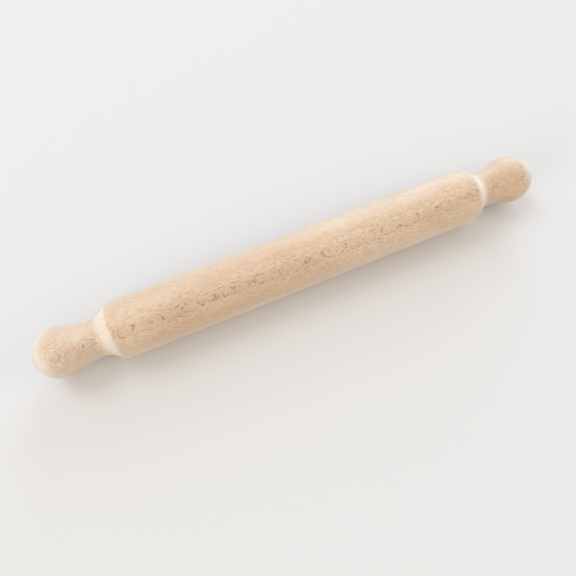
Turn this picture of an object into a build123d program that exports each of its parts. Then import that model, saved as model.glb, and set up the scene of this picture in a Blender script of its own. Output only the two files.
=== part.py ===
from build123d import *
from math import acos, cos, degrees, radians, sin
import os

# A beech rolling pin, turned from one blank, so barrel and grips are a single solid. The turning
# axis is X, with the origin on it at mid length, and the pin lies along a table with Z up.
# Both ends have the same outline, so the barrel takes whatever length the two grips leave.

# Driving dimensions, in millimetres and degrees
overall_length = 386.6
barrel_diameter = 41.1
edge_radius = 38.0  # eases the end of the barrel down to the rim
rim_drop = 0.55  # how far the rim lies below the barrel
shoulder_angle = 38.7  # slope of the straight shoulder to the axis
cove_radius = 12.9  # hollow between the shoulder and the neck
neck_diameter = 26.2
flare_radius = 39.0  # hollow from the neck out to the ball
ball_diameter = 35.8
nose_length = 19.0  # from the widest place of the ball to its tip

# Radii, and how far each arc turns
barrel_radius = barrel_diameter / 2
rim_radius = barrel_radius - rim_drop
neck_radius = neck_diameter / 2
ball_radius = ball_diameter / 2
edge_turn = acos(1 - rim_drop / edge_radius)
shoulder_turn = radians(shoulder_angle)
flare_turn = acos((neck_radius + flare_radius) / (flare_radius + ball_radius))

# Places along the axis, from the tip back to the barrel
tip_x = overall_length / 2
ball_x = tip_x - nose_length
neck_x = ball_x - (flare_radius + ball_radius) * sin(flare_turn)
cove_top_x = neck_x - cove_radius * sin(shoulder_turn)
cove_top_radius = neck_radius + cove_radius * (1 - cos(shoulder_turn))
shoulder_length = (rim_radius - cove_top_radius) / sin(shoulder_turn)
rim_x = cove_top_x - shoulder_length * cos(shoulder_turn)
barrel_end_x = rim_x - edge_radius * sin(edge_turn)


def end_outline():
    """The outline of the right-hand end, from the barrel out to the tip."""
    edge = JernArc((barrel_end_x, barrel_radius), (1, 0), edge_radius, -degrees(edge_turn))
    shoulder = Line(edge @ 1, (cove_top_x, cove_top_radius))
    cove = JernArc(shoulder @ 1, shoulder % 1, cove_radius, shoulder_angle)
    flare = JernArc(cove @ 1, cove % 1, flare_radius, degrees(flare_turn))
    JernArc(flare @ 1, flare % 1, ball_radius, -degrees(flare_turn))
    EllipticalCenterArc((ball_x, 0), nose_length, ball_radius, arc_size=90)


def rolling_pin():
    """The whole pin: its outline, closed along the axis and turned once round it."""
    with BuildPart() as pin:
        with BuildSketch():
            with BuildLine():
                end_outline()
                mirror(about=Plane.YZ)
                Line((-barrel_end_x, barrel_radius), (barrel_end_x, barrel_radius))
                Line((-tip_x, 0), (tip_x, 0))
            make_face()
        revolve(axis=Axis.X)
    return pin.part


os.makedirs("parts", exist_ok=True)
export_step(rolling_pin(), "parts/rolling_pin.step")

print("rim to rim", round(2 * rim_x, 2))
print("straight barrel", round(2 * barrel_end_x, 2))
print("neck at", round(neck_x, 2))
print("grip, rim to tip", round(tip_x - rim_x, 2))
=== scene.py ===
import math
import bpy
from mathutils import Matrix, Vector


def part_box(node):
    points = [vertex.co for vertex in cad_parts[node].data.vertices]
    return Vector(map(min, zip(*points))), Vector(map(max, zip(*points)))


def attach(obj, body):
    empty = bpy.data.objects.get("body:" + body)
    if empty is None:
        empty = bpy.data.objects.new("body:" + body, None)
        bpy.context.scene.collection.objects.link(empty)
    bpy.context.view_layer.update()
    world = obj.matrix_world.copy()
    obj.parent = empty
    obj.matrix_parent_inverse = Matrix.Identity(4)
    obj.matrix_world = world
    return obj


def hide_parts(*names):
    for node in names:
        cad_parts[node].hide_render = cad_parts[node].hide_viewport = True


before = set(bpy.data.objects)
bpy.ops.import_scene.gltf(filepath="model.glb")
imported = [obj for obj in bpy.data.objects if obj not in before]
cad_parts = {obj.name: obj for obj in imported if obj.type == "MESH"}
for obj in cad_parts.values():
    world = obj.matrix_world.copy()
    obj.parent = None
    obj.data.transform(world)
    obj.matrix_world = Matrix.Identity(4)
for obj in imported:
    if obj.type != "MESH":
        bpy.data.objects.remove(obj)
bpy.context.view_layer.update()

# A beech rolling pin, turned from one blank. Everything is in metres; X is the turning axis and
# the pin lies along the floor.


def linearColour(hexColour):
    channels = [int(hexColour[i : i + 2], 16) / 255 for i in (1, 3, 5)]
    return [c / 12.92 if c <= 0.04045 else ((c + 0.055) / 1.055) ** 2.4 for c in channels] + [1.0]


def addNode(tree, kind, inputs={}, out=None, **settings):
    # inputs go by name or number; the output that comes back is the one named, or the first in use
    node = tree.nodes.new("ShaderNode" + kind)
    for name, value in settings.items():
        setattr(node, name, value)
    for key, value in inputs.items():
        socket = node.inputs[key] if isinstance(key, int) else next(
            s for s in node.inputs if s.name == key and s.enabled)
        if isinstance(value, bpy.types.NodeSocket):
            tree.links.new(value, socket)
        else:
            socket.default_value = value
    return node.outputs[out] if out else next((s for s in node.outputs if s.enabled), None)


# The pin's radius and length come from the frame, the rest of its outline from here
pinShape = {
    "rimDrop": 0.00055,  # the rim lies this far below the barrel
    "edgeRadius": 0.038,  # eases the end of the barrel down to the rim
    "rimSoftness": 0.0014,  # sanding breaks the rim's corner this wide
    "rimSegments": 6,
    "shoulderAngle": math.radians(38.7),
    "coveRadius": 0.0129,
    "neckRadius": 0.0131,
    "flareRadius": 0.039,
    "ballRadius": 0.0179,
    "noseLength": 0.019,
    "facetTurn": math.radians(3.4),  # most that one facet of the outline turns
    "barrelStep": 0.011,
    "sides": 256,
    "mergeDistance": 0.00001,
}


def arcPoints(centre, radius, start, end, facetTurn):
    # angles from the X axis, anticlockwise; the arc's first point is left to the piece before it
    count = math.ceil(abs(end - start) / facetTurn)
    angles = [start + (end - start) * i / count for i in range(1, count + 1)]
    return [(centre[0] + radius * math.cos(a), centre[1] + radius * math.sin(a)) for a in angles]


def endOutline(shape, barrelRadius, tipX):
    # the right-hand end, from the barrel out to the tip: edge, shoulder, cove, flare, ball and nose
    edge, cove, flare = shape["edgeRadius"], shape["coveRadius"], shape["flareRadius"]
    neck, ball, nose = shape["neckRadius"], shape["ballRadius"], shape["noseLength"]
    slope, facetTurn = shape["shoulderAngle"], shape["facetTurn"]
    edgeTurn = math.acos(1 - shape["rimDrop"] / edge)
    flareTurn = math.acos((neck + flare) / (flare + ball))
    ballX = tipX - nose
    neckX = ballX - (flare + ball) * math.sin(flareTurn)
    coveTop = (neckX - cove * math.sin(slope), neck + cove * (1 - math.cos(slope)))
    rimRadius = barrelRadius - shape["rimDrop"]
    rimX = coveTop[0] - (rimRadius - coveTop[1]) / math.tan(slope)
    barrelEndX = rimX - edge * math.sin(edgeTurn)
    quarter = math.pi / 2

    points = [(barrelEndX, barrelRadius)]
    points += arcPoints((barrelEndX, barrelRadius - edge), edge, quarter, quarter - edgeTurn, facetTurn)
    points.append(coveTop)
    points += arcPoints((neckX, neck + cove), cove, -quarter - slope, -quarter, facetTurn)
    points += arcPoints((neckX, neck + flare), flare, -quarter, -quarter + flareTurn, facetTurn)
    points += arcPoints((ballX, 0), ball, quarter + flareTurn, quarter, facetTurn)
    noseSteps = math.ceil(quarter / facetTurn)
    for i in range(1, noseSteps + 1):
        turn = quarter * i / noseSteps
        points.append((ballX + nose * math.sin(turn), ball * math.cos(turn)))
    return points, rimX


def turnedPin(shape):
    low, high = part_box("rolling_pin")
    barrelRadius, tipX = min(-low.y, high.y, -low.z, high.z), high.x
    rightEnd, rimX = endOutline(shape, barrelRadius, tipX)
    barrelEndX = rightEnd[0][0]
    barrelSteps = round(2 * barrelEndX / shape["barrelStep"])
    barrel = [(barrelEndX * (2 * i / barrelSteps - 1), barrelRadius) for i in range(1, barrelSteps)]
    outline = [(-x, r) for x, r in reversed(rightEnd)] + barrel + rightEnd

    # draw the outline with one vertex, extruded from point to point, and turn it as on the lathe
    bpy.ops.object.select_all(action="DESELECT")
    bpy.ops.mesh.primitive_plane_add(size=shape["rimSoftness"], location=(outline[0][0], 0, 0))
    pin = bpy.context.object
    pin.name = pin.data.name = "rollingPin"
    bpy.ops.object.mode_set(mode="EDIT")
    bpy.ops.mesh.merge(type="CENTER")
    for (fromX, fromR), (toX, toR) in zip(outline, outline[1:]):
        move = (toX - fromX, 0, toR - fromR)
        bpy.ops.mesh.extrude_region_move(TRANSFORM_OT_translate={"value": move})
    bpy.ops.mesh.select_all(action="SELECT")
    bpy.ops.mesh.spin(steps=shape["sides"], angle=math.tau, center=(0, 0, 0), axis=(1, 0, 0))
    bpy.ops.mesh.select_all(action="SELECT")
    bpy.ops.mesh.remove_doubles(threshold=shape["mergeDistance"])
    bpy.ops.mesh.normals_make_consistent(inside=False)
    bpy.ops.object.mode_set(mode="OBJECT")
    bpy.ops.object.transform_apply(location=True, rotation=True, scale=True)

    # break the corner of both rims, as sanding does
    for vertex in pin.data.vertices:
        vertex.select = False
    for polygon in pin.data.polygons:
        polygon.select = False
    for meshEdge in pin.data.edges:
        ends = [pin.data.vertices[v].co for v in meshEdge.vertices]
        meshEdge.select = all(abs(abs(co.x) - rimX) < shape["mergeDistance"] for co in ends)
    bpy.ops.object.mode_set(mode="EDIT")
    bpy.ops.mesh.select_mode(type="EDGE")
    bpy.ops.mesh.bevel(offset=shape["rimSoftness"], segments=shape["rimSegments"], affect="EDGES")
    bpy.ops.object.mode_set(mode="OBJECT")
    bpy.ops.object.shade_smooth()
    return pin


# Lengths are in millimetres of the trunk: with the grain, along a ring, outwards from the pith.
# A real ray's dash is 1 to 3 mm long and 0.2 mm thick; it is drawn twice as thick, to show at all.
beechLook = {
    "barkAngle": 62,  # degrees up from the front, the side of the blank nearest the bark
    "grainSlope": 1.5,  # degrees between the grain and the turning axis
    "blankPlace": (562, 0, 70),  # where in the trunk the blank was cut
    "bow": 9,  # how far the trunk bends aside over half the pin
    "figureFacing": (0.7, 1.0),  # how far it faces the bark where figure starts, is full
    "flankFigure": 0.5,  # what is left of the figure on the flanks
    "grazingFacing": (0.97, 0.995),  # how far it faces the bark where the cut skims the rings
    "ringWidth": 0.5,
    "youngWood": 90.5,  # from the pith; rings show more the older they are
    "oldWood": 88.5,
    "youngRing": 0.2,  # how much of a ring shows in young wood
    "wander": [((17, 70, 70), 0.0, 2.4), ((6, 30, 40), 1.0, 0.6)],  # lump size, detail, swing
    "lines": {  # where in a ring's width they start, are full, and end
        "thin": (0.70, 0.86, 0.95),
        "broad": (0.48, 0.70, 0.95),
    },
    "fineLines": 2,  # to a ring
    "hairLines": 5,  # to a ring, where it is cut thinnest
    "marks": {  # lump size, detail, and the noise levels where the mark starts and is full
        "rays": ((3.2, 0.42, 9.0), 1.0, 0.48, 0.62),
        "dashes": ((3.6, 1.4, 3.0), 0.0, 0.46, 0.62),
        "flecks": ((2.2, 0.9, 2.2), 0.0, 0.62, 0.76),
        "pieces": ((1.0, 1.8, 1.0), 0.0, 0.56, 0.64),
        "clouds": ((56, 20, 20), 1.0, 0.30, 0.70),
        "blushes": ((16, 6, 7), 1.0, 0.42, 0.68),
    },
    "figuredMarks": ("rays", "dashes", "flecks"),  # these fade with the figure
    "gripTones": {  # where along the half pin the left grip grows paler and the right grip browner: where it starts, where it is full
        "paleGrip": (-0.72, -0.84),
        "brownGrip": (0.72, 0.84),
    },
    "endChalkAndPaintedLightFacing": (0.10, 0.70),  # how far it faces its own end where the pale end starts, is full: chalky end grain, and partly painted light from the ends
    "cream": "#f1d6b6",
    "paleCream": "#f6e4d0",
    "amber": "#c8965f",
    "tan": "#d5ae86",
    "pink": "#e6bb9e",
    "rayBrown": "#b5835c",
    "white": "#fbeedf",
    "lateWood": "#986032",
    "layers": [  # over the cream, in this order: the mark, its colour, and how far it covers
        ("paleGrip", "paleCream", 0.52),
        ("brownGrip", "amber", 0.20),
        ("clouds", "tan", 0.45),
        ("blushes", "pink", 0.22),
        ("rays", "rayBrown", 0.28),
        ("flecks", "rayBrown", 0.22),
        # partly painted light: faces towards the ends go near white, chalky end grain plus painted light
        # from the ends
        ("endChalkAndPaintedLight", "white", 1.0),
        ("fineLines", "lateWood", 0.14),
        ("hairLines", "lateWood", 0.20),
        ("dashedRings", "lateWood", 0.38),
        ("thinRings", "lateWood", 0.24),
        ("brokenRings", "lateWood", 0.48),
    ],
    "roughness": (0.46, 0.55),  # outside the clouds and inside them
    "ior": 1.5,
    "gloss": 0.6,
    "sheen": 0.8,
    "sheenRoughness": 0.5,
    "sheenTint": "#fff8ee",
    "relief": 0.00005,  # metres, from the top of the early wood down into a ray
}


def beechMaterial(look):
    # European beech, turned, sanded and left raw: pale cream with a pink cast, fine and even, with
    # a low gloss and a dry sheen at the edges. Short brown dashes, the rays, run all over it, and
    # are faintest on the flanks. Where it faces the bark the cut skims the rings, and their dark
    # late wood opens into broken arcs and spots with faint loops between them.
    material = bpy.data.materials.new("beechTurnedSanded")
    material.use_nodes = True
    tree = material.node_tree
    tree.nodes.clear()
    place = addNode(tree, "TexCoord", out="Object")
    facing = place.node.outputs["Normal"]
    bark = math.radians(look["barkAngle"])
    trunk = addNode(tree, "Mapping", {
        "Vector": place, "Location": look["blankPlace"], "Scale": (1000, 1000, 1000),
        "Rotation": (bark - math.pi / 2, 0, math.radians(look["grainSlope"]))})
    along = addNode(tree, "SeparateXYZ", {0: place}, out="X")
    halfPin = addNode(tree, "Math", {0: along, 1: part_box("rolling_pin")[1].x}, operation="DIVIDE")
    bend = addNode(tree, "Math", {0: halfPin, 1: halfPin}, operation="MULTIPLY")
    trunk = addNode(tree, "VectorMath", {0: bend, 1: (0, look["bow"], 0), 2: trunk},
                    operation="MULTIPLY_ADD")

    # the figure is strongest where the surface faces the bark, or the pith on the other side
    barkward = addNode(tree, "VectorMath", {0: facing, 1: (0, -math.cos(bark), math.sin(bark))},
                       out="Value", operation="DOT_PRODUCT")
    alongRings = addNode(tree, "Math", {0: barkward}, operation="ABSOLUTE")
    start, full = look["figureFacing"]
    figure = addNode(tree, "MapRange", {
        "Value": alongRings, "From Min": start, "From Max": full, "To Min": look["flankFigure"]},
        interpolation_type="SMOOTHSTEP")
    start, full = look["grazingFacing"]
    grazing = addNode(tree, "MapRange", {"Value": alongRings, "From Min": start, "From Max": full},
                      interpolation_type="SMOOTHSTEP")

    marks = {}
    for name, (size, detail, start, full) in look["marks"].items():
        lumpPlace = addNode(tree, "VectorMath", {0: trunk, 1: size}, operation="DIVIDE")
        lumps = addNode(tree, "TexNoise", {"Vector": lumpPlace, "Scale": 1.0, "Detail": detail})
        marks[name] = addNode(tree, "MapRange", {"Value": lumps, "From Min": start, "From Max": full},
                              interpolation_type="SMOOTHSTEP")
    for name in look["figuredMarks"]:
        marks[name] = addNode(tree, "Math", {0: marks[name], 1: figure}, operation="MULTIPLY")
    for name, (start, full) in look["gripTones"].items():
        marks[name] = addNode(tree, "MapRange", {"Value": halfPin, "From Min": start, "From Max": full},
                              interpolation_type="SMOOTHSTEP")

    # fibres cut across, towards both ends, stand up under the sandpaper and look chalky; the faces
    # towards the ends are also painted paler, as painted light falling from the ends
    endSide = addNode(tree, "Math", {0: along}, operation="SIGN")
    acrossCut = addNode(tree, "SeparateXYZ", {0: facing}, out="X")
    endward = addNode(tree, "Math", {0: acrossCut, 1: endSide}, operation="MULTIPLY")
    start, full = look["endChalkAndPaintedLightFacing"]
    marks["endChalkAndPaintedLight"] = addNode(tree, "MapRange", {"Value": endward, "From Min": start, "From Max": full},
                             interpolation_type="SMOOTHSTEP")

    # the rings: shells round the pith that wander along the grain
    across = addNode(tree, "VectorMath", {0: trunk, 1: (0, 1, 1)}, operation="MULTIPLY")
    ringPlace = addNode(tree, "VectorMath", {0: across}, operation="LENGTH")
    for size, detail, swing in look["wander"]:
        lumpPlace = addNode(tree, "VectorMath", {0: trunk, 1: size}, operation="DIVIDE")
        lumps = addNode(tree, "TexNoise", {"Vector": lumpPlace, "Scale": 1.0, "Detail": detail})
        ringPlace = addNode(tree, "Math", {0: lumps, 1: swing, 2: ringPlace}, operation="MULTIPLY_ADD")
    ringCount = addNode(tree, "Math", {0: ringPlace, 1: look["ringWidth"]}, operation="DIVIDE")
    age = addNode(tree, "MapRange", {
        "Value": ringPlace, "From Min": look["youngWood"], "From Max": look["oldWood"],
        "To Min": look["youngRing"]})

    # late wood is the dark last part of a ring
    phase = addNode(tree, "Math", {0: ringCount}, operation="FRACT")
    lines = {}
    for name, (start, full, end) in look["lines"].items():
        rise = addNode(tree, "MapRange", {"Value": phase, "From Min": start, "From Max": full},
                       interpolation_type="SMOOTHSTEP")
        fall = addNode(tree, "MapRange", {"Value": phase, "From Min": 1.0, "From Max": end},
                       interpolation_type="SMOOTHSTEP")
        lines[name] = addNode(tree, "Math", {0: rise, 1: fall}, operation="MULTIPLY")
    cutClear = addNode(tree, "Math", {0: figure, 1: marks["endChalkAndPaintedLight"]}, operation="MAXIMUM")
    clearRing = addNode(tree, "Math", {0: age, 1: cutClear}, operation="MULTIPLY")
    grazed = addNode(tree, "Math", {0: marks["pieces"], 1: grazing}, operation="MULTIPLY")
    for name, line, where in (
            ("thinRings", "thin", clearRing),
            ("dashedRings", "thin", marks["dashes"]),
            ("brokenRings", "broad", grazed)):
        marks[name] = addNode(tree, "Math", {0: lines[line], 1: where}, operation="MULTIPLY")
    for name, where in (("fineLines", marks["dashes"]), ("hairLines", grazing)):
        halfStep = 0.5 / look[name]
        wave = addNode(tree, "Math", {0: ringCount, 1: halfStep}, operation="PINGPONG")
        wave = addNode(tree, "Math", {0: wave, 1: halfStep}, operation="DIVIDE")
        marks[name] = addNode(tree, "Math", {0: wave, 1: where}, operation="MULTIPLY")

    colour = linearColour(look["cream"])
    for mark, tint, cover in look["layers"]:
        share = addNode(tree, "Math", {0: marks[mark], 1: cover}, operation="MULTIPLY")
        colour = addNode(tree, "Mix", {"Factor": share, "A": colour, "B": linearColour(look[tint])},
                         data_type="RGBA")

    hollow = addNode(tree, "Math", {0: marks["rays"], 1: marks["brokenRings"]}, operation="ADD")
    relief = addNode(tree, "Bump", {"Height": hollow, "Distance": look["relief"]}, invert=True)
    smooth, rough = look["roughness"]
    roughness = addNode(tree, "MapRange", {
        "Value": marks["clouds"], "To Min": smooth, "To Max": rough})
    wood = addNode(tree, "BsdfPrincipled", {
        "Base Color": colour, "Roughness": roughness, "Normal": relief,
        "IOR": look["ior"], "Specular IOR Level": look["gloss"],
        "Sheen Weight": look["sheen"], "Sheen Roughness": look["sheenRoughness"],
        "Sheen Tint": linearColour(look["sheenTint"])})
    addNode(tree, "OutputMaterial", {"Surface": wood})
    return material


studio = {
    "floorSize": 2.6,  # it ends where the lamps still light it, so no dark line shows at its far edge
    "floorColour": "#eceae8",
    "floorBounce": "#b2b3b6",  # what the floor throws back up at the pin
    "skyColour": "#fffaf3",
    "skyStrength": 0.66,
    "lamps": {  # place, size across, power and colour
        "windowKey": (Vector((-1.5, 2.2, 3.7)), 2.6, 56.0, "#e2f0ff"),
        "rightWindow": (Vector((2.2, 3.3, 1.1)), 3.0, 91.0, "#c4e0ff"),
        "leftFill": (Vector((-3.4, -0.9, 1.3)), 1.8, 33.0, "#fff6ea"),
        "rightFill": (Vector((3.4, -1.2, 1.3)), 1.8, 22.0, "#fff6ea"),
    },
}


def seenByEye(tree):
    # 1 where the surface is seen: straight on, mirrored in a gloss, or through glass
    seen = addNode(tree, "LightPath", out="Is Camera Ray")
    for ray in ("Is Glossy Ray", "Is Transmission Ray"):
        other = addNode(tree, "LightPath", out=ray)
        seen = addNode(tree, "Math", {0: seen, 1: other}, operation="MAXIMUM")
    return seen


def paleFloor(settings):
    # matt paper, pale to the eye; it throws less light back up than it shows
    bpy.ops.object.select_all(action="DESELECT")
    bpy.ops.mesh.primitive_plane_add(size=settings["floorSize"],
                                     location=(0, 0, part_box("rolling_pin")[0].z))
    floor = bpy.context.object
    floor.name = "floor"
    bpy.ops.object.transform_apply(location=True, rotation=True, scale=True)
    material = bpy.data.materials.new("paperMatt")
    material.use_nodes = True
    tree = material.node_tree
    tree.nodes.clear()
    shown, bounce = linearColour(settings["floorColour"]), linearColour(settings["floorBounce"])
    colour = addNode(tree, "Mix", {"Factor": seenByEye(tree), "A": bounce, "B": shown}, data_type="RGBA")
    paper = addNode(tree, "BsdfDiffuse", {"Color": colour})
    addNode(tree, "OutputMaterial", {"Surface": paper})
    floor.data.materials.append(material)


def studioLight(settings):
    world = bpy.data.worlds.new("studioWorld")
    bpy.context.scene.world = world
    world.use_nodes = True
    tree = world.node_tree
    tree.nodes.clear()
    light = addNode(tree, "Background", {
        "Color": linearColour(settings["skyColour"]), "Strength": settings["skyStrength"]})
    shown = addNode(tree, "Background", {"Color": linearColour(settings["floorColour"])})
    surface = addNode(tree, "MixShader", {0: seenByEye(tree), 1: light, 2: shown})
    addNode(tree, "OutputWorld", {"Surface": surface})

    for name, (place, size, power, colour) in settings["lamps"].items():
        bpy.ops.object.light_add(type="AREA", location=place)
        lamp = bpy.context.object
        lamp.name = lamp.data.name = name
        lamp.data.shape = "DISK"
        lamp.data.size = size
        lamp.data.energy = power
        lamp.data.color = linearColour(colour)[:3]
        lamp.rotation_euler = (-place).to_track_quat("-Z", "Y").to_euler()


cameraPlace = {
    "location": Vector((-0.0641, -0.1139, 0.2991)),
    "aim": Vector((-0.0179, -0.0168, 0.0)),
    "roll": math.radians(2.5),
    "lens": 27.96,
    "sensor": 36.0,
    "nearest": 0.01,  # it sees nothing closer than this
}


def photoCamera(settings):
    bpy.ops.object.camera_add(location=settings["location"])
    camera = bpy.context.object
    camera.name = "photoCamera"
    level = (settings["aim"] - settings["location"]).to_track_quat("-Z", "Y").to_matrix()
    camera.rotation_euler = (level @ Matrix.Rotation(settings["roll"], 3, "Z")).to_euler()
    camera.data.lens = settings["lens"]
    camera.data.sensor_width = settings["sensor"]
    camera.data.clip_start = settings["nearest"]
    bpy.context.scene.camera = camera


photoCamera(cameraPlace)
studioLight(studio)
paleFloor(studio)
bpy.context.scene.view_settings.view_transform = "Standard"
print("camera, light and floor are set")

pin = turnedPin(pinShape)
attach(pin, "root")
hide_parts("rolling_pin")
print("the pin is turned:", len(pin.data.polygons), "faces")

pin.data.materials.append(beechMaterial(beechLook))
print("the beech is on:", len(pin.active_material.node_tree.nodes), "nodes")
